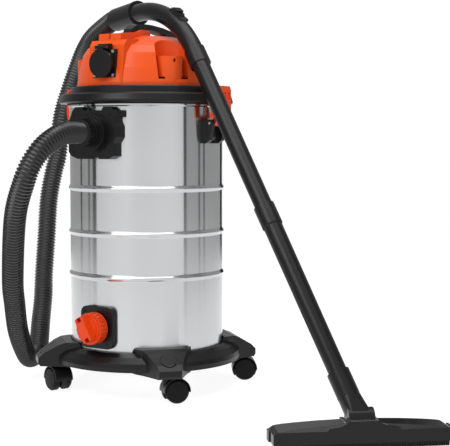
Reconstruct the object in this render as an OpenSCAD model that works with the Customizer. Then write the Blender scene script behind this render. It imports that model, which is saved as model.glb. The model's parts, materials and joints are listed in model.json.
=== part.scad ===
// Wet and dry shop vacuum: a steel drum on four twin-wheel casters, a motor head with a tool socket,
// and a corrugated hose whose wand is parked over the head. Millimetres, +Z up, front of the machine at -Y.
// The origin is on the drum's axis, at floor level.

/* [Drum] */
// Outer radius of the steel drum
tank_r = 155; // [150:1:158]
// Height of the drum's top edge above the floor
tank_top = 570; // [560:1:572]
// Thickness of the drum's sheet
tank_t = 1.2; // [1:0.1:2]
// Height of the swaged beads
bead_h = 3; // [2:0.5:4]

/* [Dolly] */
// Height of the dolly's skirt above the floor
dolly_low = 57; // [56:1:60]
// Radius of the circle through the caster stems
caster_circle = 191; // [188:1:194]
// Radius of a caster wheel
wheel_r = 23; // [21:0.5:23.5]
// Distance from a caster's stem to its axle
trail = 16; // [14:1:18]

/* [Head] */
// Outer radius of the head's rim
rim_r = 176; // [174:1:180]
// Half width of the flat nose that carries the socket
nose_w = 45; // [42:1:48]
// Height of the socket's centre
socket_z = 648; // [646:1:650]

/* [Suction set] */
// Outer diameter of the corrugated hose
hose_d = 42; // [40:1:44]
// Length of the floor nozzle
nozzle_l = 300; // [290:5:310]
// Lean of the parked wand from upright, in degrees
wand_lean = 37; // [36.5:0.5:37.5]

/* [Hidden] */
$fn = 96;
eps = 0.01;
fit = 0.05;              // radial running clearance of a pin in its bore
gap = 0.4;               // clearance between parts that move past each other

plastic = "#2b2b2c";
orange = "#e8501a";
steel = "#c9cbcc";

// ---------- shared helpers ----------

// Places children in a frame given by its origin and two unit vectors.
module in_frame(origin, x, z) {
  y = cross(z, x);
  translate(origin) rotate([atan2(y.z, z.z), asin(-x.z), atan2(x.y, x.x)]) children();
}

// A cylinder along -Y, from y = -a to y = -b.
module rod_y(r, a, b) {
  translate([0, -a, 0]) rotate([90, 0, 0]) cylinder(r = r, h = b - a);
}

// A cylinder along X, centred.
module rod_x(r, l) {
  rotate([0, 90, 0]) cylinder(r = r, h = l, center = true);
}

// A hollow tube along +Z, straight or tapered.
module pipe(r0, r1, wall, h) {
  difference() {
    cylinder(r1 = r0, r2 = r1, h = h);
    translate([0, 0, -eps]) cylinder(r1 = r0 - wall, r2 = r1 - wall, h = h + 2 * eps);
  }
}

function arc(cx, cy, r, a0, a1, n) = [for (i = [0:n]) let (a = a0 + (a1 - a0) * i / n) [cx + r * cos(a), cy + r * sin(a)]];

// ---------- dolly and casters ----------
arm_top = 99;            // height of the arms where they meet the drum
arm_low = 50;            // underside of the arms
arm_tip = 226;           // radius of the arm tips
floor_top = 66;          // the drum stands at this height
seat_r = tank_r + 1.2;   // radius of the drum's seat
skirt_r = 190;
stem_r = 5.5;
stem_top = 84;
axle_r = 3;
wheel_w = 15;            // width of one wheel
wheel_in = 6;            // inner face of a wheel, from the caster's middle plane
hood_r = wheel_r + 3;
// name, machine angle of the stem, angle of the trail
dolly_turn = 3;          // the dolly sits turned by this much under the drum
casters = [["front_left", 225 + dolly_turn, -21], ["front_right", 315 + dolly_turn, 51],
  ["rear_left", 135 + dolly_turn, 75], ["rear_right", 45 + dolly_turn, 36]];

module at_caster(k) {
  a = casters[k][1];
  translate([caster_circle * cos(a), caster_circle * sin(a), 0]) rotate([0, 0, casters[k][2]]) children();
}

module arm_shape() {
  intersection() {
    rotate([90, 0, 0]) translate([0, 0, -60]) linear_extrude(120)
      polygon([[120, arm_low], [arm_tip - 4, arm_low], [arm_tip, arm_low + 5], [arm_tip, 66], [arm_tip - 10, 76],
        [186, 94], [172, arm_top], [150, arm_top], [120, 70]]);
    linear_extrude(130) polygon([[120, -66], [158, -54], [174, -44], [214, -26], [arm_tip, -22], [arm_tip, 22],
      [214, 26], [174, 44], [158, 54], [120, 66]]);
  }
}

module dolly() {
  color(plastic) difference() {
    union() {
      rotate_extrude() polygon([[96, dolly_low + 3], [150, dolly_low + 3], [152, dolly_low], [skirt_r, dolly_low],
        [skirt_r + 1, 66], [skirt_r - 1, 74], [178, 84], [164, 90], [150, 90], [150, floor_top], [96, floor_top]]);
      for (c = casters) rotate([0, 0, c[1]]) arm_shape();
    }
    translate([0, 0, floor_top]) cylinder(r = seat_r, h = 100);
    translate([0, 0, -1]) cylinder(r = 96, h = 200);
    for (c = casters) rotate([0, 0, c[1]]) {
      translate([caster_circle, 0, arm_low - 1]) cylinder(r = stem_r + fit, h = stem_top - arm_low + 2);
      // sloping groove round the cap of the arm
      translate([206, 0, 82]) rotate([0, 36, 0]) translate([0, 0, -1.6]) difference() {
        cylinder(r = 17, h = 30);
        translate([0, 0, -1]) cylinder(r = 15, h = 40);
      }
    }
  }
}

// One caster's hood, web and stem boss. The stem is on the Z axis and the axle runs along Y at x = trail.
module caster_frame() {
  color(plastic) difference() {
    union() {
      translate([trail, 0, wheel_r]) rotate([90, 0, 0]) cylinder(r = 19, h = 2 * wheel_in - 1, center = true);
      difference() {
        translate([trail, 0, wheel_r]) rotate([90, 0, 0]) cylinder(r = hood_r, h = 38, center = true);
        translate([trail, 0, wheel_r]) rotate([90, 0, 0]) cylinder(r = wheel_r + 1, h = 60, center = true);
        translate([trail - 60, -40, -20]) cube([120, 80, wheel_r + 18]);
      }
      intersection() {
        union() {
          translate([0, 0, 22]) cylinder(r = 9.5, h = 27.4);
          translate([trail, 0, wheel_r]) rotate([90, 0, 0]) cylinder(r = hood_r, h = 2 * wheel_in - 1, center = true);
        }
        translate([-12, -30, 8]) cube([60, 60, 60]);
      }
    }
    for (s = [-1, 1]) translate([trail, s * (wheel_in + 10), wheel_r]) rotate([90, 0, 0])
      cylinder(r = wheel_r + 1, h = 21, center = true);
    translate([trail, 0, wheel_r]) rotate([90, 0, 0]) cylinder(r = axle_r, h = 60, center = true);
    translate([0, 0, 30]) cylinder(r = stem_r, h = 30);
  }
}

module caster_pins() {
  color(steel) {
    translate([0, 0, 30]) cylinder(r = stem_r, h = stem_top - 30);
    translate([trail, 0, wheel_r]) rotate([90, 0, 0]) cylinder(r = axle_r, h = 2 * (wheel_in + wheel_w) - 6, center = true);
  }
}

// One wheel, on the side s of its caster.
module caster_wheel(s) {
  color("#1d1d1e") translate([trail, 0, wheel_r]) rotate([90 * s, 0, 0]) rotate_extrude()
    polygon([[axle_r + fit, wheel_in], [wheel_r - 1.5, wheel_in], [wheel_r, wheel_in + 1.5],
      [wheel_r, wheel_in + wheel_w - 4], [wheel_r - 3, wheel_in + wheel_w - 1], [0, wheel_in + wheel_w],
      [0, wheel_in + wheel_w - 2.5], [axle_r + fit, wheel_in + wheel_w - 2.5]]);
}

// ---------- drum ----------
beads = [233, 318, 406];
bead_w = 7;              // half width of a bead
inlet_z = 514;
drain_z = 137;

// Radial height of the drum's wall over its plain radius, at height z
function swage(z) = z > 565 ? 2 * min(1, (z - 565) / 2)
  : max([for (b = beads) abs(z - b) < bead_w ? bead_h * (0.5 + 0.5 * cos(180 * (z - b) / bead_w)) : 0]);
wall_z = concat([floor_top + 6], [for (b = beads) for (i = [-6:6]) b + bead_w * i / 6], [565, 567, tank_top]);

module tank() {
  outer = [for (z = wall_z) [tank_r + swage(z), z]];
  inner = [for (i = [len(wall_z) - 1:-1:0]) [tank_r - tank_t + swage(wall_z[i]), wall_z[i]]];
  color(steel) difference() {
    rotate_extrude() polygon(concat([[0, floor_top], [tank_r - 6, floor_top], [tank_r - 1.8, floor_top + 1.8]],
      outer, inner, [[tank_r - 7, floor_top + tank_t], [0, floor_top + tank_t]]));
    translate([0, 0, inlet_z]) rod_y(31, 120, 200);
    translate([0, 0, drain_z]) rod_y(24, 120, 200);
  }
}

// ---------- hose inlet ----------
plate_y = 172;           // front face of the inlet plate, from the drum's axis
spigot_r = 24;           // outside of the hose cuff's spigot

module inlet_outline() {
  polygon([[-60, -36], [-54, -44], [-38, -50], [-14, -50], [-14, -47], [14, -47], [14, -50], [38, -50], [50, -44],
    [50, -20], [57, -8], [57, 12], [53, 22], [53, 30], [60, 30], [60, 43], [50, 43], [42, 50], [26, 50], [22, 43],
    [-22, 43], [-26, 50], [-42, 50], [-50, 43], [-60, 20]]);
}

module inlet_flange() {
  color(plastic) difference() {
    union() {
      translate([0, -140, inlet_z]) rotate([90, 0, 0]) linear_extrude(plate_y - 140) inlet_outline();
      translate([0, 0, inlet_z]) rod_y(36.5, 140, plate_y + 12);
      translate([0, 0, inlet_z]) rod_y(30.5, 132, plate_y + 16);
    }
    translate([0, 0, inlet_z - 60]) difference() {
      cylinder(r = tank_r + 0.8, h = 120);
      translate([0, 0, 60]) rod_y(30.5, 120, 200);
    }
    translate([0, 0, inlet_z]) rod_y(spigot_r + 0.3, 120, 200);
    for (x = [-44, 44], z = [-36, 34]) translate([x, 0, inlet_z + z]) {
      rod_y(2, 130, 190);
      rod_y(4.2, plate_y - 3, 190);
    }
  }
}

module inlet_gasket() {
  color("#141414") intersection() {
    translate([0, 0, inlet_z]) difference() {
      rod_y(40, 130, 160);
      rod_y(31, 120, 200);
    }
    translate([0, 0, inlet_z - 60]) difference() {
      cylinder(r = tank_r + 0.8, h = 120);
      translate([0, 0, -1]) cylinder(r = tank_r, h = 130);
    }
  }
}

// ---------- drain ----------
drain_y = 164;           // front face of the drain flange
cap_y = 168;             // inner face of the cap's skirt
cap_l = 20;

module drain_flange() {
  color(plastic) difference() {
    union() {
      translate([-25, -drain_y, drain_z - 41]) cube([50, 24, 82]);
      translate([-39, -drain_y, drain_z - 27]) cube([78, 24, 54]);
      for (x = [-25, 25], z = [-27, 27]) translate([x, 0, drain_z + z]) rod_y(14, 140, drain_y);
      translate([0, 0, drain_z]) rod_y(23.5, 130, 182);
    }
    translate([0, 0, drain_z - 60]) difference() {
      cylinder(r = tank_r + 0.1, h = 120);
      translate([0, 0, 60]) rod_y(23.5, 120, 200);
    }
    translate([0, 0, drain_z]) rod_y(18, 120, 200);
    for (x = [-27, 27], z = [-30, 30]) translate([x, 0, drain_z + z]) {
      rod_y(2, 130, 190);
      rod_y(4.2, drain_y - 3, 190);
    }
  }
}

module drain_seal() {
  color("#141414") translate([0, 0, drain_z]) difference() {
    rod_y(23, 182.3, 185);
    rod_y(18, 170, 190);
  }
}

module drain_cap() {
  color(orange) translate([0, 0, drain_z]) difference() {
    union() {
      difference() {
        rod_y(31, cap_y, cap_y + cap_l);
        for (i = [0:23]) rotate([0, i * 15, 0]) translate([31.6, 0, 0]) rod_y(1.8, cap_y + 3, cap_y + cap_l + 1);
      }
      rod_y(27, cap_y + cap_l - eps, cap_y + cap_l + 3);
      rod_y(22, cap_y + cap_l + 2, cap_y + cap_l + 6);
      rotate([0, 62, 0]) intersection() {
        translate([-40, -(cap_y + cap_l + 18), -10]) cube([80, 17, 20]);
        rod_y(26, cap_y + cap_l + 1, cap_y + cap_l + 18);
      }
    }
    rod_y(24, cap_y - 10, cap_y + 17.1);
    rotate([0, 62, 0]) for (s = [-1, 1]) translate([s * 21 - 4, -(cap_y + cap_l + 19), -5]) cube([8, 12, 10]);
  }
}

// Screws of both flanges: cap heads in their counterbores
module flange_screws() {
  color("#8d8f90") {
    for (x = [-44, 44], z = [-36, 34]) translate([x, 0, inlet_z + z]) screw_y(plate_y - 3);
    for (x = [-27, 27], z = [-30, 30]) translate([x, 0, drain_z + z]) screw_y(drain_y - 3);
  }
}

module screw_y(y) {
  rod_y(2, sqrt(pow(tank_r, 2) - pow(30, 2)) + 6, y);
  difference() {
    rod_y(3.9, y, y + 2.4);
    rod_y(1.6, y + 1.2, y + 5);
  }
}

// ---------- latches ----------
lever_pivot_z = 533;
lever_pivot_x = 171;
lever_w = 44;

// Runs its child at the right latch, then at the left one, where it is turned half round.
module both_sides() {
  for (a = [0, 180]) rotate([0, 0, a]) children();
}

// A profile in the X-Z plane, as wide as w along Y.
module across(w) {
  rotate([90, 0, 0]) linear_extrude(w, center = true) children();
}

module latch_bracket() {
  difference() {
    union() {
      across(54) polygon([[150, 538], [162, 538], [165, 528], [166, 506], [162, 500], [150, 500]]);
      for (s = [-1, 1]) translate([0, s * 21, 0]) across(10)
        polygon([[150, 540], [176, 540], [178, 530], [172, 500], [164, 494], [150, 494]]);
    }
    translate([0, 0, 480]) cylinder(r = tank_r + 0.1, h = 100);
    translate([lever_pivot_x, 0, lever_pivot_z]) rotate([90, 0, 0]) cylinder(r = 2.5, h = 80, center = true);
  }
}

module latch_brackets() {
  color(plastic) both_sides() latch_bracket();
}

module latch_pins() {
  color(steel) both_sides() translate([lever_pivot_x, 0, lever_pivot_z]) rotate([90, 0, 0])
    cylinder(r = 2.5, h = 50, center = true);
}

// The lever turns on its pin and reaches up outside the rim; its hook stops just short of the rim.
module latch_lever() {
  color(orange) difference() {
    union() {
      across(29) polygon([[167, 536], [168, 529.5], [172, 528], [176, 530], [183, 540], [187, 556], [187, 598],
        [184, 606], [177, 606], [176.7, 604], [176.7, 597], [179.6, 594], [179.6, 566], [172.5, 542]]);
      translate([lever_pivot_x, 0, lever_pivot_z]) rotate([90, 0, 0]) cylinder(r = 5.5, h = 29, center = true);
      across(56) polygon([[173, 543], [184.8, 543], [187, 556], [187, 598], [184, 606], [178.4, 604],
        [179.6, 594], [179.6, 566]]);
    }
    translate([lever_pivot_x, 0, lever_pivot_z]) rotate([90, 0, 0]) cylinder(r = 2.5 + fit, h = 80, center = true);
    // window and grip slots
    translate([160, -17, 549]) cube([40, 34, 22]);
    for (y = [-19, 19]) translate([185.4, y - 4, 580]) cube([4, 8, 14]);
    translate([185.6, -10, 584]) cube([4, 20, 3]);
    translate([185.6, -10, 590]) cube([4, 20, 3]);
  }
}

// ---------- head ----------
pan_low = 573;
deck_z = 584;
cup_r = 74;              // inside of the fan cup under the deck
cup_low = 540;
collar_top = 606;
shell = 4;

module head_pan() {
  color(plastic) difference() {
    rotate_extrude() union() {
      polygon([[159.2, pan_low], [rim_r - 2, pan_low], [rim_r, pan_low + 2], [rim_r, pan_low + 5],
        [rim_r - 3, pan_low + 16], [rim_r - 7, pan_low + 19], [153, pan_low + 19], [152, collar_top - 2],
        [150, collar_top], [cup_r + 3, collar_top], [cup_r + 3, deck_z + 3], [144, deck_z + 3], [144, deck_z],
        [159.2, deck_z]]);
      polygon([[20, cup_low], [cup_r + 4, cup_low], [cup_r + 4, deck_z], [146, deck_z], [146, deck_z + 4],
        [cup_r, deck_z + 4], [cup_r, cup_low + 3], [20, cup_low + 3]]);
    }
    // ring channel under the housing keeps the pan light
    difference() {
      translate([0, 0, deck_z + 4]) cylinder(r = 134, h = 40);
      translate([0, 0, deck_z]) cylinder(r = cup_r + 6, h = 60);
    }
    // notches in the collar
    for (a = [8, 28, 152, 172, 188, 208, 332, 352]) rotate([0, 0, a]) translate([151.2, -0.8, pan_low + 20])
      cube([4, 1.6, 20]);
  }
}

module head_gasket() {
  color("#141414") difference() {
    translate([0, 0, tank_top + 0.2]) cylinder(r = 159, h = deck_z - tank_top - 0.2);
    translate([0, 0, tank_top - 1]) cylinder(r = 150, h = 40);
  }
}

// Outer shape of the orange housing, taken in by t all over.
module housing_solid(t) {
  difference() {
    rotate_extrude() polygon([[0, collar_top - 8], [139 - t, collar_top - 8], [139 - t, 612], [134 - t, 640],
      [127 - t, 669], [117 - t, 683.5 - t], [91 - t, 696 - t], [60 - t, 706 - t], [0, 708 - t]]);
    // a recess round each tower
    for (s = [-1, 1]) rotate([0, 0, 270 + s * 60]) translate([125, 0, 618 + t]) cylinder(r = 33 + t, h = 120);
  }
  // flat nose
  intersection() {
    rotate([90, 0, 90]) translate([0, 0, -nose_w + t]) linear_extrude(2 * (nose_w - t))
      polygon([[0, collar_top - 8], [-134 + t, collar_top - 8], [-134 + t, 612], [-126 + t, 684 - t], [-118 + t, 694 - t], [0, 700 - t]]);
    linear_extrude(760) polygon([[-nose_w + t, -100], [-nose_w + 5, -150], [nose_w - 5, -150], [nose_w - t, -100], [nose_w - t, 0], [-nose_w + t, 0]]);
  }
  // raised block round the switch
  rotate([90, 0, 90]) translate([0, 0, -27 + t]) linear_extrude(54 - 2 * t)
    polygon([[-40, 690 - t], [-119 + t, 690 - t], [-116 + t, 707 - t], [-70, 712 - t], [-40, 716 - t]]);
  // saddle that carries the handle
  rotate([90, 0, 90]) translate([0, 0, -22 + t]) linear_extrude(44 - 2 * t)
    polygon([[-72, 690], [-66 + t, 709 - t], [-40, 719 - t], [-20, 719 - t], [0, 710 - t], [40, 706 - t], [86, 706 - t], [100 - t, 690]]);
  // towers beside the nose
  for (s = [-1, 1]) rotate([0, 0, 270 + s * 60]) translate([112, 0, collar_top - 8]) {
    cylinder(r = 27 - t, h = 662 - collar_top + 8 - t);
  }
}

module motor_housing() {
  color(orange) difference() {
    housing_solid(0);
    difference() {
      housing_solid(shell);
      // floor under the switch pocket
      translate([-30, -112, 682]) cube([60, 60, 5]);
      translate([-30, -112, 682]) cube([60, 4, 40]);
      translate([-27, -112, 682]) cube([6, 50, 40]);
      translate([21, -112, 682]) cube([6, 50, 40]);
      translate([-30, -62, 682]) cube([60, 6, 40]);
      translate([-34, -19, 687.5]) cube([68, 88, 40]);
    }
    // finger trough under the carry handle
    translate([-30, -15, 692]) cube([60, 80, 40]);
    translate([0, 0, collar_top - 20]) cylinder(r = 200, h = 20);
    // switch pocket, open at the top, and the slot in its front wall
    translate([-21, -108, 687]) cube([42, 46, 60]);
    translate([-1.5, -130, 696]) cube([3, 30, 40]);
    // seat of the socket, and its well
    translate([-27, -face_y - 12, socket_z - 27]) cube([54, 22, 54]);
    translate([-15, -face_y - 12, socket_z + 20]) cube([30, 18, 18]);
    translate([0, 0, socket_z]) rod_y(22, 100, 160);
    handle_shape();
    // cord gland at the back
    translate([0, 0, 630]) rotate([-90, 0, 0]) cylinder(r = 8, h = 160);
    // screw notches in the towers
    for (s = [-1, 1]) rotate([0, 0, 270 + s * 60]) translate([139, 0, 650]) rotate([0, -25, 0]) cylinder(r = 3, h = 30);
    // cooling slots at the back
    for (a = [55:5:125]) if (abs(a - 90) > 7) rotate([0, 0, a]) translate([110, -1.4, 616]) cube([40, 2.8, 26]);
  }
}

module carry_handle() {
  color(plastic) handle_shape();
}

module handle_shape() {
  intersection() {
    rotate([90, 0, 90]) translate([0, 0, -14]) linear_extrude(28)
      polygon([[-64, 711], [-40, 719], [-24, 719], [-12, 721], [12, 720.6], [60, 714], [72, 708], [72, 706], [92, 706],
        [96, 696], [104, 700], [98, 714], [80, 723], [40, 729], [0, 732], [-20, 732], [-44, 729], [-60, 720]]);
    linear_extrude(800) polygon([[-9, -64], [-13, -40], [-14, 0], [-13, 60], [-12, 110], [12, 110], [13, 60], [14, 0],
      [13, -40], [9, -64]]);
  }
}

module cord_gland() {
  color(plastic) translate([0, 0, 630]) rotate([-90, 0, 0]) difference() {
    union() {
      translate([0, 0, 120]) cylinder(r = 7.99, h = 20);
      translate([0, 0, 138.5]) cylinder(r1 = 11, r2 = 9, h = 8);
    }
    translate([0, 0, 100]) cylinder(r = 4, h = 60);
  }
}

// ---------- tool socket ----------
face_y = 134;            // front face of the housing's nose, where it is lowest
lid_pin_z = socket_z + 31;
lid_pin_y = face_y + 10;
lid_r = 27;
well_r = 19.5;

module socket_body() {
  color(plastic) difference() {
    union() {
      translate([-27, -face_y - 2, socket_z - 27]) cube([54, 12, 54]);
      translate([-15, -face_y - 2, socket_z + 20]) cube([30, 8, 18]);
      translate([0, 0, socket_z]) rod_y(25, face_y - 6, face_y + 9);
      translate([0, 0, socket_z]) rod_y(21.8, face_y - 28, face_y);
      for (s = [-1, 1]) translate([s * 11, -lid_pin_y, lid_pin_z]) {
        rod_x(3.6, 6);
        translate([-3, 0, -3.6]) cube([6, 9, 7.2]);
      }
    }
    translate([0, 0, socket_z]) rod_y(well_r, face_y - 17, face_y + 20);
    translate([0, 0, socket_z]) for (x = [-9.5, 9.5]) translate([x, 0, 0]) rod_y(2.5, face_y - 40, face_y);
    translate([0, -lid_pin_y, lid_pin_z]) rod_x(1.5, 60);
    for (x = [-22.5, 22.5], z = [-22.5, 22.5]) translate([x, 0, socket_z + z]) rod_y(1.6, 100, 160);
  }
}

// Contact sleeves behind the well's floor
module socket_contacts() {
  color("#b9a15a") for (x = [-9.5, 9.5]) translate([x, 0, socket_z]) difference() {
    rod_y(2.45, face_y - 27, face_y - 17.2);
    rod_y(2.05, face_y - 30, face_y);
  }
}

module socket_lid() {
  color(plastic) difference() {
    union() {
      translate([0, 0, socket_z]) rod_y(lid_r, face_y + 9.5, face_y + 14);
      translate([-7.5, -face_y - 14, socket_z + 20]) cube([15, 4.5, lid_pin_z - socket_z - 20]);
      translate([0, -lid_pin_y, lid_pin_z]) rod_x(4, 15);
    }
    translate([0, -lid_pin_y, lid_pin_z]) rod_x(1.5 + fit, 60);
    // room for the two knuckles of the body
    for (s = [-1, 1]) translate([s * 11.2, -lid_pin_y, lid_pin_z]) rod_x(4.4, 7.2);
  }
}

module socket_lid_pin() {
  color(steel) translate([0, -lid_pin_y, lid_pin_z]) rod_x(1.5, 28);
}

module socket_screws() {
  color("#b8babb") for (x = [-22.5, 22.5], z = [-22.5, 22.5]) translate([x, 0, socket_z + z]) {
    rod_y(1.6, face_y - 10, face_y + 2);
    difference() {
      rod_y(3.2, face_y + 2, face_y + 3.8);
      rod_y(1.3, face_y + 2.8, face_y + 8);
    }
  }
}

// ---------- switch ----------
knob_y = -86;

module switch_panel() {
  color("#9a9894") difference() {
    translate([-20.6, -107.6, 687]) cube([41.2, 45.2, 14]);
    translate([-30, -112, 693]) rotate([12, 0, 0]) cube([60, 70, 20]);
    translate([0, knob_y, 680]) cylinder(r = 4 + fit, h = 40);
  }
}

module switch_knob() {
  color("#1b1b1c") translate([0, knob_y, 0]) {
    translate([0, 0, 688]) cylinder(r = 4, h = 15);
    translate([0, 0, 701.5]) cylinder(r = 11, h = 3.5);
    translate([-2.5, -10.5, 704]) cube([5, 21, 4]);
  }
}

// ---------- motor, fan and filter ----------
module motor() {
  color("#6f7274") difference() {
    union() {
      translate([0, 0, 589]) cylinder(r = 72, h = 5);
      translate([0, 0, 589]) cylinder(r = 50, h = 92);
    }
    translate([0, 0, 595]) cylinder(r = 45, h = 80);
    translate([0, 0, 580]) cylinder(r = 4 + fit, h = 120);
  }
}

module motor_shaft() {
  color(steel) translate([0, 0, 548]) cylinder(r = 4, h = 137);
}

module armature() {
  color("#8a5a34") difference() {
    union() {
      translate([0, 0, 606]) cylinder(r = 28, h = 45);
      translate([0, 0, 651]) cylinder(r = 14, h = 16);
    }
    translate([0, 0, 600]) cylinder(r = 4, h = 80);
  }
}

module impeller() {
  color("#c4c6c8") difference() {
    union() {
      translate([0, 0, 552]) cylinder(r = 58, h = 1.5);
      translate([0, 0, 564]) cylinder(r = 58, h = 1.5);
      translate([0, 0, 552]) cylinder(r = 9, h = 13.5);
      for (i = [0:8]) rotate([0, 0, i * 40]) translate([22, 0, 552]) rotate([0, 0, -38]) cube([38, 1.5, 13]);
    }
    translate([0, 0, 540]) cylinder(r = 4, h = 40);
    translate([0, 0, 550]) cylinder(r = 0.1, h = 1);
    difference() {
      translate([0, 0, 551.5]) cylinder(r = 18, h = 2);
      translate([0, 0, 551]) cylinder(r = 9, h = 4);
    }
  }
}

module fan_housing() {
  color("#55585a") difference() {
    translate([0, 0, cup_low + 3]) cylinder(r = cup_r - 1.5, h = 46);
    translate([0, 0, 547]) cylinder(r = 61, h = 22);
    translate([0, 0, 540]) cylinder(r = 18, h = 20);
    translate([0, 0, 560]) cylinder(r = 8, h = 40);
    difference() {
      translate([0, 0, 571]) cylinder(r = 68, h = 40);
      translate([0, 0, 560]) cylinder(r = 12, h = 40);
    }
    for (i = [0:5]) rotate([0, 0, i * 60]) translate([50, 0, 565]) cylinder(r = 6, h = 20);
  }
}

cage_r = 36;
cage_low = 448;

module float_cage() {
  color(plastic) difference() {
    union() {
      translate([0, 0, cage_low]) cylinder(r = cage_r, h = cup_low - cage_low);
      translate([0, 0, cup_low - 3]) cylinder(r = 44, h = 3);
    }
    translate([0, 0, cage_low + 2.5]) cylinder(r = cage_r - 2.5, h = 100);
    for (i = [0:11]) rotate([0, 0, i * 30 + 15]) translate([20, -5, cage_low + 8]) cube([30, 10, 66]);
    for (i = [0:5]) rotate([0, 0, i * 60]) translate([20, 0, cage_low - 1]) cylinder(r = 5, h = 6);
  }
}

module float_cup() {
  color("#d9d9d6") difference() {
    translate([0, 0, cage_low + 3]) cylinder(r = 28, h = 34);
    translate([0, 0, cage_low + 2]) cylinder(r = 26, h = 33);
  }
}

filter_low = 396;

module filter_cartridge() {
  pleats = 36;
  color("#e8e6df") translate([0, 0, filter_low + 6]) difference() {
    linear_extrude(cup_low - filter_low - 6.2)
      polygon([for (i = [0:2 * pleats - 1]) let (a = i * 180 / pleats, r = i % 2 == 0 ? 70 : 58) [r * cos(a), r * sin(a)]]);
    translate([0, 0, -1]) cylinder(r = 46, h = 200);
  }
}

module filter_cap() {
  color("#1b1b1c") {
    translate([0, 0, filter_low]) difference() {
      cylinder(r = 72, h = 5.8);
      translate([0, 0, 3]) cylinder(r = 44, h = 5);
    }
    translate([0, 0, filter_low - 10]) cylinder(r = 12, h = 10);
    translate([-22, -3.5, filter_low - 10]) cube([44, 7, 10]);
  }
}

// ---------- suction set: hose, cuffs, wand and nozzle ----------
// The parked set stands in one upright plane that leans across the right of the machine.
wand_heading = 159;                   // direction the wand rises in, seen from above
wand_ref = [203, -61.5, 592];         // a point on the wand's axis, level with the rim
wand_dir = [sin(wand_lean) * cos(wand_heading), sin(wand_lean) * sin(wand_heading), cos(wand_lean)];
corner_s = 226;                       // from wand_ref up to the corner of the handle's bend
bend_corner = wand_ref + corner_s * wand_dir;
cuff_drop = 4.6;                      // fall of the hose's cuff below level, in degrees
hose_dir = [cos(cuff_drop) * cos(wand_heading), cos(cuff_drop) * sin(wand_heading), -sin(cuff_drop)];
bend_normal = [sin(wand_heading), -cos(wand_heading), 0];
bend_angle = 90 + cuff_drop - wand_lean;
bend_r = 232;
tangent = bend_r * tan(bend_angle / 2);
tube_r = 18;
tube_wall = 2.2;
bend_start = bend_corner - tangent * wand_dir;
bend_end = bend_corner + tangent * hose_dir;
cuff_r = 24;
cuff_l = 84;
hose_start = bend_end + (cuff_l + 4) * hose_dir;
collar_l = 34;                        // the handle's collar over the top of the wand
upper_top = bend_start - 1 * wand_dir;
upper_l = 362;
lower_top = upper_top - upper_l * wand_dir;
lower_l = 338;
lower_end = lower_top - lower_l * wand_dir;

// Places children so that X runs outward from the bend's centre at its lower end, and turning about
// the local Z axis runs along the bend towards the hose.
module on_bend(a) {
  translate(bend_start) rotate([0, 0, wand_heading]) rotate([90, 0, 0]) rotate([0, 0, 180 - wand_lean])
    translate([-bend_r, 0, 0]) rotate([0, 0, -a]) children();
}

module on_wand(p) {
  in_frame(p, bend_normal, -wand_dir) children();
}

inlet_cuff_l = 38;

module inlet_cuff() {
  color(plastic) translate([0, 0, inlet_z]) difference() {
    union() {
      rod_y(spigot_r, 140, plate_y + 18);
      rod_y(28, plate_y + 16.3, plate_y + 22);
      rod_y(25, plate_y + 21, plate_y + inlet_cuff_l);
      for (a = [0:15:345]) rotate([0, a, 0]) translate([-1, -plate_y - 37, 24]) cube([2, 14, 2.2]);
    }
    rod_y(19, 130, plate_y + inlet_cuff_l + 1);
  }
}

module handle_cuff() {
  color(plastic) in_frame(bend_end, bend_normal, hose_dir) {
    difference() {
      union() {
        translate([0, 0, 4]) cylinder(r1 = cuff_r + 1, r2 = cuff_r, h = cuff_l);
        cylinder(r = cuff_r + 1.6, h = 5);
      }
      translate([0, 0, -1]) cylinder(r = 17.25, h = 120);
    }
  }
}

module handle_tube() {
  color(plastic) union() {
    difference() {
      union() {
        difference() {
          bend(tube_r);
          bend(tube_r - tube_wall);
        }
        // pad that carries the slider
        on_bend(22) translate([bend_r + tube_r - 1.6, -24, -9]) cube([4.6, 48, 18]);
      }
      on_bend(22) translate([bend_r + tube_r - 6, -6, -5]) cube([20, 12, 10]);
    }
    // collar over the wand, and the spigot in the hose's cuff
    on_wand(bend_start) difference() {
      translate([0, 0, -3]) cylinder(r = 20.5, h = collar_l + 3);
      translate([0, 0, -4]) cylinder(r = 17.05, h = collar_l + 5);
    }
    in_frame(bend_end, bend_normal, hose_dir) pipe(17.2, 17.2, 0.9, 24);
  }
}

module bend(r) {
  on_bend(bend_angle) rotate_extrude(angle = bend_angle) translate([bend_r, 0]) circle(r = r);
}

module suction_slider() {
  color("#1b1b1c") on_bend(22) difference() {
    union() {
      translate([bend_r + tube_r + 3.3, -20, -8]) cube([3.4, 28, 16]);
      translate([bend_r + tube_r + 6.6, -13, -8]) cube([4, 14, 16]);
    }
    for (y = [-10:3:-3]) translate([bend_r + tube_r + 9.6, y, -9]) cube([3, 1.2, 18]);
  }
}

module wand_upper() {
  color(plastic) on_wand(upper_top) difference() {
    union() {
      cylinder(r = 17, h = 34);
      translate([0, 0, 34]) cylinder(r1 = 17, r2 = 16.4, h = upper_l - 34);
      translate([0, 0, upper_l]) cylinder(r1 = 15.1, r2 = 14.7, h = 36);
    }
    translate([0, 0, -1]) cylinder(r1 = 15, r2 = 12.6, h = upper_l + 40);
  }
}

module wand_lower() {
  color(plastic) on_wand(lower_top) difference() {
    union() {
      cylinder(r = 19.2, h = 42);
      translate([0, 0, 42]) cylinder(r1 = 19.2, r2 = 17.2, h = 3);
      translate([0, 0, 44]) cylinder(r1 = 17.2, r2 = 16.2, h = lower_l - 44);
      translate([0, 0, lower_l]) cylinder(r1 = 15.4, r2 = 15, h = 34);
    }
    translate([0, 0, -1]) cylinder(r = 15.2, h = 40);
    translate([0, 0, 30]) cylinder(r1 = 15, r2 = 12.8, h = lower_l + 10);
  }
}

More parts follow.
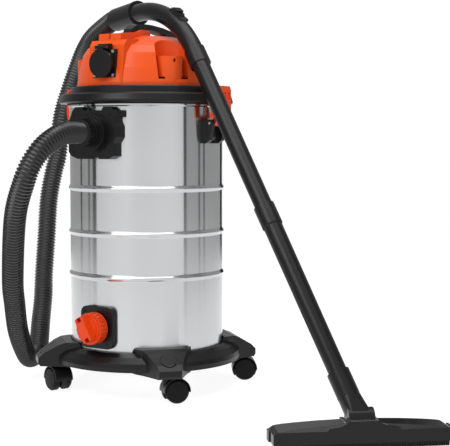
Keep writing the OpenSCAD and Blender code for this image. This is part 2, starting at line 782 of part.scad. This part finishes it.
// ---------- floor nozzle ----------
nozzle_heading = 40.6;                // direction of the nozzle's long side
knuckle_r = 19;
knuckle = [round(lower_end.x) + 50, round(lower_end.y) - 19, 42];
nozzle_x = [cos(nozzle_heading), sin(nozzle_heading), 0];

module on_nozzle() {
  translate([knuckle.x, knuckle.y, 0]) rotate([0, 0, nozzle_heading]) children();
}

module nozzle_neck() {
  color(plastic) difference() {
    union() {
      on_wand(lower_end) translate([0, 0, 0.3]) cylinder(r = 19.6, h = 45.7);
      hull() {
        on_wand(lower_end) translate([0, 0, 45]) cylinder(r = 19, h = 1, $fn = 32);
        translate([knuckle.x, knuckle.y, knuckle.z]) rotate([0, 90, nozzle_heading]) cylinder(r = knuckle_r - 1, h = 30, center = true, $fn = 32);
      }
      translate([knuckle.x, knuckle.y, knuckle.z]) rotate([0, 90, nozzle_heading]) cylinder(r = knuckle_r, h = 44, center = true);
    }
    on_wand(lower_end) translate([0, 0, -1]) cylinder(r = 15.5, h = 36);
    on_wand(lower_end) translate([0, 0, 30]) cylinder(r = 12.5, h = 90);
  }
}

module nozzle_shell(t) {
  // arched side view cut to a tapering plan
  intersection() {
    rotate([90, 0, 0]) translate([0, 0, -34 + t]) linear_extrude(68 - 2 * t)
      polygon(concat([[-nozzle_l / 2 + t, 9], [-nozzle_l / 2 + t, 26 - t]],
        [for (i = [0:8]) let (u = -1 + i / 4) [u * (nozzle_l / 2 - 8), 31 - t + 8 * (1 - u * u)]],
        [[nozzle_l / 2 - t, 26 - t], [nozzle_l / 2 - t, 9]]));
    linear_extrude(60) polygon([[-nozzle_l / 2, -34], [nozzle_l / 2, -34], [nozzle_l / 2, 18], [60, 34], [-60, 34], [-nozzle_l / 2, 18]]);
    rotate([90, 0, 90]) linear_extrude(400, center = true)
      polygon([[-34 + t, 0], [34 - t, 0], [34 - t, 18], [14, 41 - t], [-20, 41 - t], [-34 + t, 30]]);
  }
}

module nozzle_body() {
  color(plastic) on_nozzle() difference() {
    union() {
      difference() {
        nozzle_shell(0);
        difference() {
          translate([0, 0, -6]) nozzle_shell(3);
          translate([-34, -40, 0]) cube([68, 80, 60]);
        }
      }
      // housing of the knuckle
      intersection() {
        translate([0, 0, knuckle.z]) rotate([0, 90, 0]) cylinder(r = knuckle_r + 4, h = 58, center = true);
        hump(40, -40);
      }
      intersection() {
        union() {
          hump(-26, -34);
          translate([0, 0, 34]) rod_y(23, 26, 34);
        }
        translate([-80, -60, 9]) cube([160, 120, 80]);
      }
    }
    translate([0, 0, knuckle.z]) rotate([0, 90, 0]) cylinder(r = knuckle_r + gap, h = 45.4, center = true);
    // the neck's way out, from upright forwards to nearly flat
    translate([-22.7, 0, 0]) rotate([90, 0, 90]) linear_extrude(45.4)
      polygon([[0, 42], [0, 24], [11, 24], [36, 42], [70, 72], [70, 100], [-60, 100], [-60, 48]]);
    // and the side it leans to
    translate([-31, -12, 40.5]) cube([10, 60, 30]);
    translate([-20, -12, -1]) cube([40, 24, 30]);
  }
}

// A hump across the nozzle, from y0 back to y1
module hump(y0, y1) {
  translate([0, y0, 0]) rotate([90, 0, 0]) linear_extrude(y0 - y1)
    polygon([[-60, 9], [-60, 34], [-40, 37], [-30, 41], [-24, 47], [-20, 51], [20, 51], [24, 47], [30, 41],
      [40, 37], [60, 34], [60, 9]]);
}

module nozzle_brushes() {
  color("#101010") on_nozzle() {
    translate([-nozzle_l / 2 + 6, -33, 0]) cube([nozzle_l - 12, 8, 9]);
    translate([-105, 17, 0]) cube([210, 8, 9]);
  }
}

module nozzle_clips() {
  color("#1b1b1c") on_nozzle() for (s = [-1, 1])
    translate([s * (nozzle_l / 2 + 2) - 2, -10, 10]) cube([4, 20, 18]);
}

// ---------- hose ----------
hose_route = [
  [4, -277, 508], [-1, -313, 487], [-12, -332, 458], [-25, -338, 425], [-60, -325, 358], [-120, -269, 235],
  [-152, -230, 179], [-185, -186, 119], [-213, -138, 71], [-237, -94, 44], [-257, -47, 53], [-285, -6, 105],
  [-300, 20, 158], [-310, 34, 202], [-316, 51, 290], [-318, 62, 369], [-312, 72, 429], [-305, 79, 469],
  [-299, 86, 548], [-284, 96, 610], [-261, 102, 668], [-239, 100, 702], [-209, 93, 727]];
hose_sides = 12;

// Catmull-Rom point between b and c
function spline(a, b, c, d, t) = 0.5 * (2 * b + (c - a) * t + (2 * a - 5 * b + 4 * c - d) * t * t + (3 * b - a - 3 * c + d) * t * t * t);
function at(p, i) = p[max(0, min(len(p) - 1, i))];
function smooth(p, n) = [for (i = [0:len(p) - 2]) for (k = [0:n - 1]) spline(at(p, i - 1), p[i], p[i + 1], at(p, i + 2), k / n)];
function unit(v) = v / norm(v);

module tube_along(path, r, sides) {
  n = len(path);
  dirs = [for (i = [0:n - 1]) i == 0 ? [0, -1, 0] : i == n - 1 ? -hose_dir : unit(path[i + 1] - path[i - 1])];
  side = [for (i = 0, p = [1, 0, 0]; i < n; i = i + 1, p = i < n ? unit(p - (p * dirs[i]) * dirs[i]) : p) p];
  rings = [for (i = [0:n - 1]) let (u = side[i], v = cross(dirs[i], u))
    for (k = [0:sides - 1]) path[i] + r * cos(360 * k / sides) * u + r * sin(360 * k / sides) * v];
  faces = concat([[for (k = [sides - 1:-1:0]) k]], [[for (k = [0:sides - 1]) (n - 1) * sides + k]],
    [for (i = [0:n - 2]) for (k = [0:sides - 1]) let (a = i * sides + k, b = i * sides + (k + 1) % sides)
      each [[a, b, b + sides], [a, b + sides, a + sides]]]);
  polyhedron(points = rings, faces = faces, convexity = 6);
}

module hose() {
  cuff_end = [0, -plate_y - inlet_cuff_l, inlet_z];
  color("#1a1a1b") tube_along(concat(smooth(concat([cuff_end, cuff_end - [0, 30, 0]], hose_route), 2),
    [hose_start + 20 * hose_dir, hose_start]), hose_d / 2, hose_sides);
}

dolly();
at_caster(0) caster_frame();  // caster_frame_front_left
at_caster(1) caster_frame();  // caster_frame_front_right
at_caster(2) caster_frame();  // caster_frame_rear_left
at_caster(3) caster_frame();  // caster_frame_rear_right
at_caster(0) caster_pins();  // caster_pins_front_left
at_caster(1) caster_pins();  // caster_pins_front_right
at_caster(2) caster_pins();  // caster_pins_rear_left
at_caster(3) caster_pins();  // caster_pins_rear_right
at_caster(0) caster_wheel(1);  // wheel_front_left_a
at_caster(0) caster_wheel(-1);  // wheel_front_left_b
at_caster(1) caster_wheel(1);  // wheel_front_right_a
at_caster(1) caster_wheel(-1);  // wheel_front_right_b
at_caster(2) caster_wheel(1);  // wheel_rear_left_a
at_caster(2) caster_wheel(-1);  // wheel_rear_left_b
at_caster(3) caster_wheel(1);  // wheel_rear_right_a
at_caster(3) caster_wheel(-1);  // wheel_rear_right_b
tank();
inlet_flange();
inlet_gasket();
drain_flange();
drain_seal();
drain_cap();
flange_screws();
latch_brackets();
latch_pins();
latch_lever();  // latch_lever_right
rotate([0, 0, 180]) latch_lever();  // latch_lever_left
head_pan();
head_gasket();
motor_housing();
carry_handle();
socket_body();
socket_contacts();
socket_lid();
socket_lid_pin();
socket_screws();
switch_panel();
switch_knob();
cord_gland();
motor();
motor_shaft();
armature();
impeller();
fan_housing();
float_cage();
float_cup();
filter_cartridge();
filter_cap();
hose();
inlet_cuff();
handle_cuff();
handle_tube();
suction_slider();
wand_upper();
wand_lower();
nozzle_neck();
nozzle_body();
nozzle_brushes();
nozzle_clips();
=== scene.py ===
# %% [markdown]
# # A wet and dry shop vacuum
# The finished model is a steel drum on casters with an orange motor head, a corrugated hose and a
# parked wand. The solid parts come from the CAD model and keep their exact shapes. This lesson
# gives them real finishes, and makes the pieces that solids can't show: the ribbed hose and the bristles.

# %% Load the frame
import json
import math
import random

import bmesh
import bpy
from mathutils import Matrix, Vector


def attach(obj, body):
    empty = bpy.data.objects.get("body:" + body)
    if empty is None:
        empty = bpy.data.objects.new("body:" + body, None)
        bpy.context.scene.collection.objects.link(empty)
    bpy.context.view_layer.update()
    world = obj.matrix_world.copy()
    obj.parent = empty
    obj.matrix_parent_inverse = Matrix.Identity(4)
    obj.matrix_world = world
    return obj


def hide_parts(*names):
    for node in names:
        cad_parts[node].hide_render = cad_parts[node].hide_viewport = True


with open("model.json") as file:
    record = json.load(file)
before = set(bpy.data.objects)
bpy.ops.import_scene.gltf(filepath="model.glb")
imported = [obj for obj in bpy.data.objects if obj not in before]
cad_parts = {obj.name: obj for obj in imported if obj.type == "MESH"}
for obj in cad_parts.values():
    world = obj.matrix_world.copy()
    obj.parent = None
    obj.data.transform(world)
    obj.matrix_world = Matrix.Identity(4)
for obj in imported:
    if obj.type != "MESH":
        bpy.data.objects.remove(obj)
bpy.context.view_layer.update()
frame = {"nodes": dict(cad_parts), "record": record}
nodes = frame["nodes"]
record = frame["record"]

# %% [markdown]
# The camera comes first, because every finish is judged through it. It stands a little left of
# the machine's right-hand corner and looks slightly down, with a long lens that keeps the drum's
# sides nearly parallel. A longer lens from further back would flatten the wand.

# %% Camera
camera = bpy.data.objects.new("camera", bpy.data.cameras.new("camera"))
bpy.context.scene.collection.objects.link(camera)
camera.data.lens = 96
camera.data.sensor_width = 36
camera.location = (1.4686, -1.9676, 0.497)
camera.rotation_euler = Vector((-0.5434, 0.8368, -0.0675)).to_track_quat("-Z", "Y").to_euler()
bpy.context.scene.camera = camera
print("camera at", tuple(camera.location), "lens", camera.data.lens)

# %% [markdown]
# The hose leaves the inlet, hangs in one long loop and comes back over the head. These are the
# same points as in the CAD source, in metres. A Catmull-Rom curve passes through every one of
# them; a Bezier curve would need handles that have no meaning for a hose.

# %% The hose's line
def millimetres(points):
    return [Vector(point) / 1000 for point in points]

lean, heading, drop = math.radians(37), math.radians(159), math.radians(4.6)
wand_dir = Vector((math.sin(lean) * math.cos(heading), math.sin(lean) * math.sin(heading), math.cos(lean)))
hose_dir = Vector((math.cos(drop) * math.cos(heading), math.cos(drop) * math.sin(heading), -math.sin(drop)))
bend_radius = 0.232
tangent = bend_radius * math.tan((math.pi / 2 + drop - lean) / 2)
bend_corner = Vector((0.203, -0.0615, 0.592)) + 0.226 * wand_dir
hose_end = bend_corner + (tangent + 0.088) * hose_dir
hose_exit = Vector((0, -0.21, 0.514))
route = [hose_exit, hose_exit - Vector((0, 0.03, 0))] + millimetres([
    (4, -277, 508), (-1, -313, 487), (-12, -332, 458), (-25, -338, 425), (-60, -325, 358), (-120, -269, 235),
    (-152, -230, 179), (-185, -186, 119), (-213, -138, 71), (-237, -94, 44), (-257, -47, 53), (-285, -6, 105),
    (-300, 20, 158), (-310, 34, 202), (-316, 51, 290), (-318, 62, 369), (-312, 72, 429), (-305, 79, 469),
    (-299, 86, 548), (-284, 96, 610), (-261, 102, 668), (-239, 100, 702), (-209, 93, 727)
]) + [hose_end + 0.02 * hose_dir, hose_end]


def catmull_rom(points, steps):
    line = []
    for i in range(len(points) - 1):
        a, b = points[max(i - 1, 0)], points[i]
        c, d = points[i + 1], points[min(i + 2, len(points) - 1)]
        for k in range(steps):
            t = k / steps
            line.append(0.5 * (2 * b + (c - a) * t + (2 * a - 5 * b + 4 * c - d) * t ** 2
                + (3 * b - a - 3 * c + d) * t ** 3))
    return line + [points[-1]]


def even_steps(line, step):
    out, carry = [line[0]], 0.0
    for a, b in zip(line, line[1:]):
        length = (b - a).length
        while carry + length >= step:
            a = a + (b - a) * ((step - carry) / length)
            length = (b - a).length
            out.append(a.copy())
            carry = 0.0
        carry += length
    return out


hose_step = 0.0011
hose_line = even_steps(catmull_rom(route, 24), hose_step)
for turn in range(60):
    hose_line = [hose_line[0]] + [0.25 * a + 0.5 * b + 0.25 * c
        for a, b, c in zip(hose_line, hose_line[1:], hose_line[2:])] + [hose_line[-1]]

# %% [markdown]
# A corrugated hose is blown from one tube: rounded crests with narrow valleys, one about every
# 6.6 mm. The ribs are real geometry here, because they show on the hose's outline, where a bump
# texture would leave it smooth. The crest is flattened by an even power of the cosine.

# %% Corrugated hose
def swept_tube(name, line, radius_at, sides):
    mesh = bmesh.new()
    side = Vector((1, 0, 0))
    rings = []
    for i, point in enumerate(line):
        ahead = (line[min(i + 1, len(line) - 1)] - line[max(i - 1, 0)]).normalized()
        side = (side - side.dot(ahead) * ahead).normalized()
        across = ahead.cross(side)
        radius = radius_at(i)
        rings.append([mesh.verts.new(point + radius * (math.cos(2 * math.pi * k / sides) * side
            + math.sin(2 * math.pi * k / sides) * across)) for k in range(sides)])
    for low, high in zip(rings, rings[1:]):
        for k in range(sides):
            face = mesh.faces.new((low[k], low[(k + 1) % sides], high[(k + 1) % sides], high[k]))
            face.smooth = True
    mesh.faces.new(list(reversed(rings[0])))
    mesh.faces.new(rings[-1])
    data = bpy.data.meshes.new(name)
    mesh.to_mesh(data)
    mesh.free()
    piece = bpy.data.objects.new(name, data)
    bpy.context.scene.collection.objects.link(piece)
    return piece


rib_pitch = 0.0066
hose_radius = 0.0209
rib_depth = 0.0031


def rib_radius(i):
    wave = 0.5 + 0.5 * math.cos(2 * math.pi * i * hose_step / rib_pitch)
    return hose_radius - rib_depth * (1 - wave) ** 1.15


hose = swept_tube("corrugated_hose", hose_line, rib_radius, 32)
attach(hose, "suction_set")
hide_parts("hose")
print("hose has", len(hose.data.vertices), "vertices")

# %% [markdown]
# The floor nozzle stands on two strips of bristle. Each strip is rows of thin tufts that lean a
# little at random, made from one seeded generator so that they are the same each time.

# %% Bristle strips
tuft_spacing = 0.0013


def bristle_strip(name, origin, turn, x0, x1, y0, y1, top):
    source = random.Random(7)
    mesh = bmesh.new()
    along = Vector((math.cos(turn), math.sin(turn), 0))
    across = Vector((-math.sin(turn), math.cos(turn), 0))
    rows = [y0 + (y1 - y0) * (k + 0.5) / 5 for k in range(5)]
    for row in rows:
        x = x0 + 0.0006
        while x < x1 - 0.0006:
            foot_x = x + source.uniform(-0.0005, 0.0005)
            foot_y = row + source.uniform(-0.0005, 0.0005)
            foot_z = 0.0002 + source.uniform(0, 0.0006)
            root = origin + along * x + across * row + Vector((0, 0, top))
            foot = origin + along * foot_x + across * foot_y + Vector((0, 0, foot_z))
            ring = []
            for point, half in ((root, 0.00085), (foot, 0.00045)):
                ring.append([mesh.verts.new(point + half * (a * along + b * across))
                    for a, b in ((-1, -1), (1, -1), (1, 1), (-1, 1))])
            for k in range(4):
                mesh.faces.new((ring[0][k], ring[0][(k + 1) % 4], ring[1][(k + 1) % 4], ring[1][k]))
            mesh.faces.new(ring[1])
            x += tuft_spacing
    bmesh.ops.recalc_face_normals(mesh, faces=mesh.faces)
    data = bpy.data.meshes.new(name)
    mesh.to_mesh(data)
    mesh.free()
    piece = bpy.data.objects.new(name, data)
    bpy.context.scene.collection.objects.link(piece)
    return piece


knuckle = Vector((0.592, -0.21, 0))
nozzle_turn = math.radians(40.6)
brush_top = 0.009
front_bristles = bristle_strip("front_bristles", knuckle, nozzle_turn, -0.144, 0.144, -0.033, -0.025, brush_top)
rear_bristles = bristle_strip("rear_bristles", knuckle, nozzle_turn, -0.105, 0.105, 0.017, 0.025, brush_top)
for strip in (front_bristles, rear_bristles):
    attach(strip, "nozzle")
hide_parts("nozzle_brushes")
print("bristle strips have", len(front_bristles.data.polygons) + len(rear_bristles.data.polygons), "faces")

# %% [markdown]
# Finishes. Colours are written as sRGB hex values, the way a paint card gives them, and one
# function turns them to the linear values that the shader wants. One small function adds a node
# with its settings and links, so that each material below reads as a recipe.

# %% Colour and node helpers
def linear(hexcode, alpha=1.0):
    values = [int(hexcode[i:i + 2], 16) / 255 for i in (1, 3, 5)]
    return [v / 12.92 if v <= 0.04045 else ((v + 0.055) / 1.055) ** 2.4 for v in values] + [alpha]


def add(material, kind, links=None, **settings):
    tree = material.node_tree
    node = tree.nodes.new(kind)
    for key, value in settings.items():
        if hasattr(node, key):
            setattr(node, key, value)
        else:
            node.inputs[key.title()].default_value = value
    for key, source in (links or {}).items():
        tree.links.new(source, node.inputs[key])
    return node


def blank(name):
    material = bpy.data.materials.new(name)
    material.use_nodes = True
    material.node_tree.nodes.clear()
    return material


def two_tone(material, factor, shade, colour):
    """A colour that wanders between two hex values as the factor goes from 0 to 1."""
    tint = add(material, "ShaderNodeMix", {"Factor": factor}, data_type="RGBA")
    tint.inputs[6].default_value = linear(shade)
    tint.inputs[7].default_value = linear(colour)
    return tint.outputs[2]


def rough_between(material, factor, low, high):
    """A roughness that follows the factor from low to high."""
    rough = add(material, "ShaderNodeMapRange", {"Value": factor})
    rough.inputs["To Min"].default_value = low
    rough.inputs["To Max"].default_value = high
    return rough.outputs["Result"]


def finish_surface(material, shader):
    add(material, "ShaderNodeOutputMaterial", {"Surface": shader.outputs["BSDF"]})
    print("finish", material.name)
    return material

# %% [markdown]
# Most of the machine is injection-moulded plastic. The mould's spark-eroded texture leaves grains
# of about half a millimetre, which spread the highlight, and the colour varies a little with the
# flow of the melt. The grain here is drawn at 0.9 mm, as coarse as it needs to show. A small
# rounding of the edges, read by the bevel node, catches the light as a real moulded edge does.

# %% Moulded plastics
def moulded(name, colour, shade, roughness, grain_mm, depth, coat=0.0, gloss=0.5):
    material = blank(name)
    where = add(material, "ShaderNodeTexCoord").outputs["Object"]
    flow = add(material, "ShaderNodeTexNoise", {"Vector": where}, scale=9.0, detail=3.0)
    tint = two_tone(material, flow.outputs["Fac"], shade, colour)
    grain = add(material, "ShaderNodeTexNoise", {"Vector": where}, scale=1000 / grain_mm, detail=2.0)
    rough = rough_between(material, grain.outputs["Fac"], roughness - 0.06, roughness + 0.06)
    edge = add(material, "ShaderNodeBevel", samples=4)
    edge.inputs["Radius"].default_value = 0.0009
    bump = add(material, "ShaderNodeBump", {"Height": grain.outputs["Fac"], "Normal": edge.outputs["Normal"]})
    bump.inputs["Strength"].default_value = depth
    bump.inputs["Distance"].default_value = 0.0003
    shader = add(material, "ShaderNodeBsdfPrincipled", {"Base Color": tint,
        "Roughness": rough, "Normal": bump.outputs["Normal"]})
    shader.inputs["IOR"].default_value = 1.5
    shader.inputs["Specular IOR Level"].default_value = gloss
    shader.inputs["Coat Weight"].default_value = coat
    shader.inputs["Coat Roughness"].default_value = 0.12
    return finish_surface(material, shader)


black_abs = moulded("black_textured_abs", "#141415", "#0d0d0e", 0.31, 0.9, 0.3, gloss=0.26)
caster_nylon = moulded("black_nylon", "#131314", "#0c0c0d", 0.36, 0.9, 0.2, gloss=0.25)
wheel_plastic = moulded("wheel_polypropylene", "#0d0d0e", "#080809", 0.46, 0.9, 0.3, gloss=0.15)
orange_abs = moulded("orange_abs", "#e6520f", "#dc4a0b", 0.34, 0.8, 0.12, 0.05, 0.3)
red_orange_abs = moulded("orange_red_abs", "#e8470a", "#dc3d05", 0.34, 0.8, 0.12, 0.05, 0.3)
grip_plastic = moulded("black_grip_polypropylene", "#161617", "#0f0f10", 0.36, 0.9, 0.3, gloss=0.3)
grey_cover = moulded("grey_gloss_cover", "#8f8d8a", "#7f7d7a", 0.16, 1.2, 0.03, 0.6)
hose_polyethylene = moulded("black_blown_polyethylene", "#0e0e0f", "#080809", 0.24, 1.5, 0.06, 0.1, 0.4)
float_plastic = moulded("white_polypropylene", "#d9d9d4", "#cfcfca", 0.45, 0.9, 0.1)
seal_rubber = moulded("nitrile_rubber", "#1c1c1c", "#141414", 0.7, 1.0, 0.3, gloss=0.3)
bristle_nylon = moulded("bristle_nylon", "#101010", "#090909", 0.55, 0.6, 0.1, gloss=0.2)

# %% [markdown]
# The drum is stainless sheet with a bright rolled finish. Rolling leaves fine lines that run round
# the drum, so a reflection is sharp from side to side and drawn out up and down. The anisotropic
# setting makes that stretch, which round highlights with more roughness would not. The lines, of
# about 0.3 mm, are drawn as flat noise 1 mm high and many centimetres long, and they move the
# roughness as well as the height.

# %% Rolled stainless steel
def rolled_steel(name, colour, shade, roughness, spread, depth, stretch=0.0):
    material = blank(name)
    where = add(material, "ShaderNodeTexCoord").outputs["Object"]
    drawn = add(material, "ShaderNodeMapping", {"Vector": where})
    drawn.inputs["Scale"].default_value = (4, 4, 900)
    lines = add(material, "ShaderNodeTexNoise", {"Vector": drawn.outputs["Vector"]}, scale=1.0, detail=3.0)
    cloud = add(material, "ShaderNodeTexNoise", {"Vector": where}, scale=7.0, detail=3.0)
    tint = two_tone(material, cloud.outputs["Fac"], shade, colour)
    rough = rough_between(material, lines.outputs["Fac"], roughness - spread, roughness + spread)
    bump = add(material, "ShaderNodeBump", {"Height": lines.outputs["Fac"]})
    bump.inputs["Strength"].default_value = depth
    bump.inputs["Distance"].default_value = 0.0001
    shader = add(material, "ShaderNodeBsdfPrincipled", {"Base Color": tint,
        "Roughness": rough, "Normal": bump.outputs["Normal"]})
    shader.inputs["Metallic"].default_value = 1.0
    if stretch > 0:
        around = add(material, "ShaderNodeTangent", direction_type="RADIAL", axis="Z")
        material.node_tree.links.new(around.outputs["Tangent"], shader.inputs["Tangent"])
        shader.inputs["Anisotropic"].default_value = stretch
        shader.inputs["Anisotropic Rotation"].default_value = 0.25
    return finish_surface(material, shader)


drum_steel = rolled_steel("bright_rolled_stainless", "#cccdce", "#c0c1c2", 0.17, 0.02, 0.08, 0.95)
black_screws = rolled_steel("black_zinc_screws", "#3a3a3b", "#2c2c2d", 0.35, 0.05, 0.2)
zinc_steel = rolled_steel("zinc_plated_steel", "#c2c3c4", "#a9abad", 0.3, 0.06, 0.2)
cast_grey = rolled_steel("grey_cast_aluminium", "#8d9092", "#7b7e80", 0.5, 0.08, 0.4)
pressed_aluminium = rolled_steel("pressed_aluminium", "#d0d2d4", "#bfc1c3", 0.35, 0.06, 0.2)
contact_brass = rolled_steel("contact_brass", "#c9a95c", "#b8964a", 0.28, 0.05, 0.2)
copper_winding = rolled_steel("varnished_copper_winding", "#a8683f", "#8c512c", 0.38, 0.08, 0.6)

# %% [markdown]
# The filter is pleated paper: matt, fibrous and faintly mottled. Fibres of 0.2 mm are drawn at
# 0.6 mm so that they show.

# %% Filter paper
def fibrous(name, colour, shade):
    material = blank(name)
    where = add(material, "ShaderNodeTexCoord").outputs["Object"]
    fibre = add(material, "ShaderNodeTexNoise", {"Vector": where}, scale=1600.0, detail=4.0)
    tint = two_tone(material, fibre.outputs["Fac"], shade, colour)
    bump = add(material, "ShaderNodeBump", {"Height": fibre.outputs["Fac"]})
    bump.inputs["Strength"].default_value = 0.5
    bump.inputs["Distance"].default_value = 0.0003
    shader = add(material, "ShaderNodeBsdfPrincipled", {"Base Color": tint, "Normal": bump.outputs["Normal"]})
    shader.inputs["Roughness"].default_value = 0.9
    return finish_surface(material, shader)


filter_paper = fibrous("pleated_filter_paper", "#e9e6dc", "#dad6ca")

# %% [markdown]
# Every CAD node names a material slot in its record. This table says which finish each slot gets.
# The hose, the handle, the wand and the nozzle stand close to the drum, and real steel would mirror
# them as slanted dark bands. They are switched off for mirror rays, which is not physically true
# but keeps the drum's bands clear.

# %% Dress the CAD nodes
finish_of = {
    "drum_steel": drum_steel, "black_plastic": black_abs, "caster_plastic": caster_nylon,
    "wheel_plastic": wheel_plastic, "pin_steel": zinc_steel, "rubber_seal": seal_rubber,
    "orange_plastic": orange_abs, "orange_red_plastic": red_orange_abs, "handle_plastic": grip_plastic,
    "grey_gloss_plastic": grey_cover, "motor_grey": cast_grey, "copper_winding": copper_winding,
    "impeller_aluminium": pressed_aluminium, "brass_contact": contact_brass, "float_plastic": float_plastic,
    "filter_paper": filter_paper, "hose_plastic": hose_polyethylene, "bristle": bristle_nylon,
    "black_screw_steel": black_screws,
}
slot_of = {part["node"]: part["material_slot"] for part in record["subparts"]}
for name, piece in nodes.items():
    for holder in piece.material_slots:
        holder.link = "OBJECT"
        holder.material = finish_of[slot_of[name]]
hose.data.materials.append(hose_polyethylene)
for strip in (front_bristles, rear_bristles):
    strip.data.materials.append(bristle_nylon)
for piece in [hose] + [nodes[name] for name in nodes if name.startswith(("wand", "nozzle", "handle"))]:
    piece.visible_glossy = False
print("dressed", len(nodes), "nodes in", len(finish_of), "finishes")

# %% [markdown]
# The studio. Polished steel shows its surroundings and little else, so the drum is lit by what
# stands round it: a white floor, a surround that is brightest beside the camera, and a grey screen
# on each side with a black edge and thin black battens. The battens give the dark upright lines in
# the drum's upper bands. The screens end above the floor, so the lowest band reflects the floor
# instead and stays plain. Emission sets the level of each exactly, whatever the lamps do.

# %% Floor and screens
def glowing(name, colour, shade, strength, base="#000000"):
    material = blank(name)
    where = add(material, "ShaderNodeTexCoord").outputs["Object"]
    cloud = add(material, "ShaderNodeTexNoise", {"Vector": where}, scale=1.5)
    tint = two_tone(material, cloud.outputs["Fac"], shade, colour)
    shader = add(material, "ShaderNodeBsdfPrincipled", {"Emission Color": tint})
    shader.inputs["Base Color"].default_value = linear(base)
    shader.inputs["Roughness"].default_value = 0.9
    shader.inputs["Specular IOR Level"].default_value = 0.0
    shader.inputs["Emission Strength"].default_value = strength
    return finish_surface(material, shader)


def stage_mesh(name, corners, faces, material):
    data = bpy.data.meshes.new(name)
    data.from_pydata(corners, [], faces)
    piece = bpy.data.objects.new(name, data)
    piece.data.materials.append(material)
    bpy.context.scene.collection.objects.link(piece)
    return piece


floor_paint = glowing("white_floor_paint", "#ffffff", "#fdfdfd", 0.92, "#8c8c8c")
screen_grey = glowing("grey_screen_cloth", "#ffffff", "#f4f4f4", 0.43)
batten_black = glowing("black_batten_paint", "#202020", "#181818", 0.1)
stage_mesh("floor", [(-30, -30, 0), (30, -30, 0), (30, 30, 0), (-30, 30, 0)], [(0, 1, 2, 3)], floor_paint)
camera_azimuth = 33
screen_distance, batten_distance = 1.75, 1.7
screen_foot, screen_top = 0.1, 2.6


def screen(name, start, end, distance, material):
    steps = max(2, int(abs(end - start) / 3))
    corners, faces = [], []
    for k in range(steps + 1):
        angle = math.radians(camera_azimuth + start + (end - start) * k / steps)
        x, y = math.sin(angle) * distance, -math.cos(angle) * distance
        corners += [(x, y, screen_foot), (x, y, screen_top)]
    for k in range(steps):
        faces.append((2 * k, 2 * k + 2, 2 * k + 3, 2 * k + 1))
    piece = stage_mesh(name, corners, faces, material)
    piece.visible_camera = False
    piece.visible_diffuse = False
    piece.visible_shadow = False
    return piece


left_battens = ((73, 80), (86, 89), (104, 108))
right_battens = ((58, 62.5), (84, 87), (94, 97), (146, 160))
for hand, sign, battens in (("left", -1, left_battens), ("right", 1, right_battens)):
    for number, (start, end) in enumerate(battens):
        screen(hand + "_batten_" + str(number), sign * start, sign * end, batten_distance, batten_black)
    screen(hand + "_screen", sign * battens[0][0], sign * 160, screen_distance, screen_grey)
print("screens stand", screen_distance, "m from the drum's axis")

# %% Surround and lights
world = bpy.data.worlds.new("studio")
bpy.context.scene.world = world
world.use_nodes = True
world.node_tree.nodes.clear()
where = add(world, "ShaderNodeTexCoord").outputs["Generated"]
towards = add(world, "ShaderNodeVectorMath", {0: where}, operation="DOT_PRODUCT")
towards.inputs[1].default_value = (0.5446, -0.8387, 0)
along = add(world, "ShaderNodeMapRange", {"Value": towards.outputs["Value"]})
along.inputs["From Min"].default_value = -1
levels = add(world, "ShaderNodeValToRGB", {"Fac": along.outputs["Result"]})
ramp = levels.color_ramp
for position, level in ((0.0, 0.5), (0.5, 0.5), (0.68, 0.66), (0.86, 0.95), (0.96, 0.9)):
    stop = ramp.elements.new(position) if position > 0 else ramp.elements[0]
    stop.color = (level, level, level, 1)
ramp.elements[len(ramp.elements) - 1].color = (0.8, 0.8, 0.8, 1)
room = add(world, "ShaderNodeBackground", {"Color": levels.outputs["Color"]})
room.inputs["Strength"].default_value = 1.05
seen = add(world, "ShaderNodeBackground")
seen.inputs["Color"].default_value = (1, 1, 1, 1)
seen.inputs["Strength"].default_value = 1.05
path = add(world, "ShaderNodeLightPath")
soft = add(world, "ShaderNodeBackground", {"Color": levels.outputs["Color"]})
soft.inputs["Strength"].default_value = 0.5
matt = add(world, "ShaderNodeMixShader", {0: path.outputs["Is Diffuse Ray"], 1: room.outputs["Background"],
    2: soft.outputs["Background"]})
both = add(world, "ShaderNodeMixShader", {0: path.outputs["Is Camera Ray"], 1: matt.outputs["Shader"],
    2: seen.outputs["Background"]})
add(world, "ShaderNodeOutputWorld", {"Surface": both.outputs["Shader"]})


def softbox(name, azimuth, distance, height, size, power):
    lamp = bpy.data.objects.new(name, bpy.data.lights.new(name, "AREA"))
    lamp.data.size = size
    lamp.data.energy = power
    angle = math.radians(camera_azimuth + azimuth)
    lamp.location = (math.sin(angle) * distance, -math.cos(angle) * distance, height)
    lamp.rotation_euler = (Vector((0, 0, 0.4)) - lamp.location).to_track_quat("-Z", "Y").to_euler()
    bpy.context.scene.collection.objects.link(lamp)
    return lamp


softbox("key", -38, 2.2, 2.3, 1.4, 28)
softbox("top", 20, 0.5, 2.6, 1.9, 36)
bpy.context.scene.view_settings.view_transform = "Standard"
